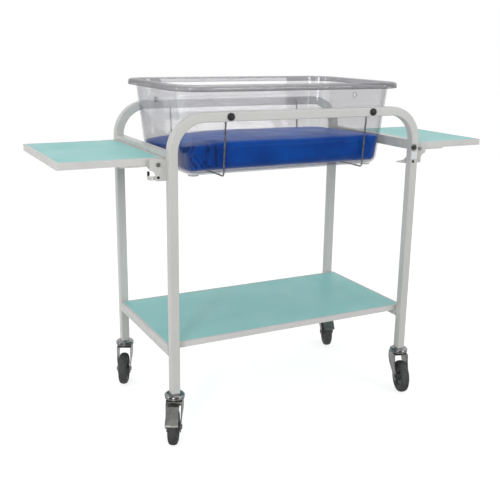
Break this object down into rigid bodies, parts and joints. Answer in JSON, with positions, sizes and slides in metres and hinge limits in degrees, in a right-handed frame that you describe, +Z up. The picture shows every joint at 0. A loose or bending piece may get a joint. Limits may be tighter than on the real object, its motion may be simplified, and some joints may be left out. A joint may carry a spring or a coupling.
{
  "type": "hospital crib",
  "caption": "Clear newborn tub with mattress in wire cradles on a tubular trolley with a shelf, fold-down side leaves and braked swivel casters.",
  "frame": {"origin": "on the floor under the middle of the whole crib, casters included", "axes": "+X along the length, to the right seen from the front; +Y to the back; +Z up"},
  "size_m": [1.344, 0.5562, 0.963],
  "materials": {
    "frame_paint": "gloss",
    "laminate": "mint green laminate",
    "edging": "satin",
    "zinc": "bright zinc",
    "wire_steel": "satin",
    "black_plastic": "gloss",
    "clear_plastic": "clear",
    "mattress_cover": "coated cloth",
    "grey_plastic": "matte",
    "grey_tread": "matte"
  },
  "bodies": {
    "frame": {"side_frame_front": "frame_paint", "side_frame_rear": "frame_paint", "upper_end_rail_left": "frame_paint", "upper_end_rail_right": "frame_paint", "lower_end_rail_left": "frame_paint", "lower_end_rail_right": "frame_paint", "shelf_board": "laminate", "shelf_edging": "edging", "shelf_screws": "zinc", "wire_cradle_left": "wire_steel", "wire_cradle_right": "wire_steel", "cradle_knobs": "black_plastic", "leaf_bracket_front_left": "frame_paint", "leaf_bracket_front_right": "frame_paint", "leaf_bracket_rear_left": "frame_paint", "leaf_bracket_rear_right": "frame_paint", "hinge_pins": "zinc", "hinge_spacers": "zinc", "catch_rivets": "zinc", "rail_bolts": "zinc", "rail_washers": "zinc", "spring_covers": "frame_paint", "leg_plugs": "black_plastic", "caster_stems": "zinc"},
    "leaf_left": {"leaf_left_board": "laminate", "leaf_left_edging": "edging", "leaf_screws_left": "zinc", "leaf_arm_front_left": "frame_paint", "leaf_arm_rear_left": "frame_paint"},
    "leaf_right": {"leaf_right_board": "laminate", "leaf_right_edging": "edging", "leaf_screws_right": "zinc", "leaf_arm_front_right": "frame_paint", "leaf_arm_rear_right": "frame_paint"},
    "catch_front_left": {"spring_catch_front_left": "frame_paint", "catch_tip_front_left": "black_plastic"},
    "catch_rear_right": {"spring_catch_rear_right": "frame_paint", "catch_tip_rear_right": "black_plastic"},
    "lever_front_right": {"release_lever_front_right": "frame_paint"},
    "lever_rear_left": {"release_lever_rear_left": "frame_paint"},
    "tub": {"tub": "clear_plastic"},
    "mattress": {"mattress": "mattress_cover"},
    "yoke_front_left": {"fork_front_left": "zinc", "axle_front_left": "zinc"},
    "wheel_front_left": {"hub_front_left": "grey_plastic", "tyre_front_left": "grey_tread"},
    "pedal_front_left": {"brake_pedal_front_left": "zinc"},
    "yoke_front_right": {"fork_front_right": "zinc", "axle_front_right": "zinc"},
    "wheel_front_right": {"hub_front_right": "grey_plastic", "tyre_front_right": "grey_tread"},
    "yoke_rear_left": {"fork_rear_left": "zinc", "axle_rear_left": "zinc"},
    "wheel_rear_left": {"hub_rear_left": "grey_plastic", "tyre_rear_left": "grey_tread"},
    "yoke_rear_right": {"fork_rear_right": "zinc", "axle_rear_right": "zinc"},
    "wheel_rear_right": {"hub_rear_right": "grey_plastic", "tyre_rear_right": "grey_tread"},
    "pedal_rear_right": {"brake_pedal_rear_right": "zinc"}
  },
  "joints": [
    {"name": "leaf_left_fold", "type": "hinge", "parent": "frame", "child": "leaf_left", "pos_m": [-0.418, 0.0284, 0.767], "axis": [0, -1, 0], "range_deg": [0, 90]},
    {"name": "leaf_right_fold", "type": "hinge", "parent": "frame", "child": "leaf_right", "pos_m": [0.418, 0.0284, 0.767], "axis": [0, 1, 0], "range_deg": [0, 90]},
    {"name": "catch_front_left_swing", "type": "hinge", "parent": "frame", "child": "catch_front_left", "pos_m": [-0.418, -0.1733, 0.734], "axis": [0, -1, 0], "range_deg": [0, 20], "stiffness_Nm_per_rad": 0.05, "springref_deg": -14.32},
    {"name": "catch_rear_right_swing", "type": "hinge", "parent": "frame", "child": "catch_rear_right", "pos_m": [0.418, 0.2301, 0.734], "axis": [0, 1, 0], "range_deg": [0, 20], "stiffness_Nm_per_rad": 0.05, "springref_deg": -14.32},
    {"name": "lever_front_right_press", "type": "hinge", "parent": "frame", "child": "lever_front_right", "pos_m": [0.379, -0.1733, 0.733], "axis": [0, 1, 0], "range_deg": [0, 10], "stiffness_Nm_per_rad": 0.08, "springref_deg": -14.32},
    {"name": "lever_rear_left_press", "type": "hinge", "parent": "frame", "child": "lever_rear_left", "pos_m": [-0.379, 0.2301, 0.733], "axis": [0, -1, 0], "range_deg": [0, 10], "stiffness_Nm_per_rad": 0.08, "springref_deg": -14.32},
    {"name": "tub_lift", "type": "slide", "parent": "frame", "child": "tub", "axis": [0, 0, 1], "range_m": [0, 0.35]},
    {"name": "mattress_lift", "type": "slide", "parent": "tub", "child": "mattress", "axis": [0, 0, 1], "range_m": [0, 0.3]},
    {"name": "swivel_front_left", "type": "hinge", "parent": "frame", "child": "yoke_front_left", "pos_m": [-0.384, -0.1876, 0.13], "axis": [0, 0, 1], "continuous": true},
    {"name": "roll_front_left", "type": "hinge", "parent": "yoke_front_left", "child": "wheel_front_left", "pos_m": [-0.40043, -0.2185, 0.05], "axis": [0.8829, -0.4695, 0], "continuous": true},
    {"name": "brake_front_left", "type": "hinge", "parent": "yoke_front_left", "child": "pedal_front_left", "pos_m": [-0.39339, -0.20526, 0.109], "axis": [0.8829, -0.4695, 0], "range_deg": [0, 9]},
    {"name": "swivel_front_right", "type": "hinge", "parent": "frame", "child": "yoke_front_right", "pos_m": [0.384, -0.1876, 0.13], "axis": [0, 0, 1], "continuous": true},
    {"name": "roll_front_right", "type": "hinge", "parent": "yoke_front_right", "child": "wheel_front_right", "pos_m": [0.37318, -0.22089, 0.05], "axis": [0.9511, -0.309, 0], "continuous": true},
    {"name": "swivel_rear_left", "type": "hinge", "parent": "frame", "child": "yoke_rear_left", "pos_m": [-0.384, 0.2444, 0.13], "axis": [0, 0, 1], "continuous": true},
    {"name": "roll_rear_left", "type": "hinge", "parent": "yoke_rear_left", "child": "wheel_rear_left", "pos_m": [-0.39934, 0.21294, 0.05], "axis": [0.8988, -0.4384, 0], "continuous": true},
    {"name": "swivel_rear_right", "type": "hinge", "parent": "frame", "child": "yoke_rear_right", "pos_m": [0.384, 0.2444, 0.13], "axis": [0, 0, 1], "continuous": true},
    {"name": "roll_rear_right", "type": "hinge", "parent": "yoke_rear_right", "child": "wheel_rear_right", "pos_m": [0.37089, 0.21195, 0.05], "axis": [0.9272, -0.3746, 0], "continuous": true},
    {"name": "brake_rear_right", "type": "hinge", "parent": "yoke_rear_right", "child": "pedal_rear_right", "pos_m": [0.37651, 0.22586, 0.109], "axis": [0.9272, -0.3746, 0], "range_deg": [0, 9]}
  ]
}
